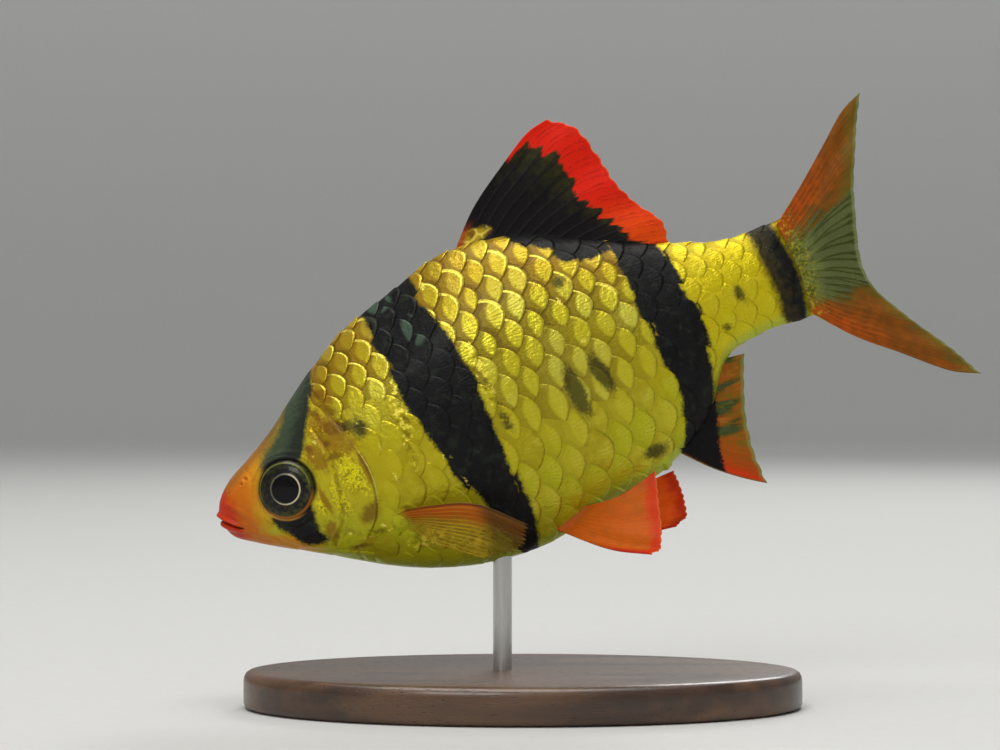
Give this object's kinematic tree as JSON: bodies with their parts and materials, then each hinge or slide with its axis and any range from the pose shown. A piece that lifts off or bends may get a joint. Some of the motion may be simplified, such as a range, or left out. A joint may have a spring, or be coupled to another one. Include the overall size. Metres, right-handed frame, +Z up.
{
  "type": "tiger barb model",
  "caption": "Life-size tiger barb swimming nose down, deep banded body with raised fins, held over an oval base by one rod.",
  "frame": {"origin": "centre of the stand base's underside, on the surface it stands on", "axes": "+X from the head towards the tail, -Y out of the fish's left side, +Z up"},
  "size_m": [0.0602, 0.026, 0.0485],
  "materials": {
    "skin": "golden scaled skin with black bands",
    "gill_cover": "golden, flecked with bright metallic spots",
    "eye": "dark and wet, with a thin pale ring round the pupil",
    "dorsal_fin": "black with a red margin",
    "red_fin": "orange red, clear between the rays",
    "stand_wood": "dark satin",
    "stand_metal": "fine brushed"
  },
  "bodies": {
    "root": {"head": "skin", "torso": "skin", "tail_stalk": "skin", "gill_cover_left": "gill_cover", "gill_cover_right": "gill_cover", "eye_left": "eye", "eye_right": "eye", "dorsal_fin": "dorsal_fin", "anal_fin": "red_fin", "caudal_fin": "red_fin", "pectoral_fin_left": "red_fin", "pectoral_fin_right": "red_fin", "pelvic_fin_left": "red_fin", "pelvic_fin_right": "red_fin", "stand_base": "stand_wood", "stand_rod": "stand_metal"}
  },
  "joints": []
}
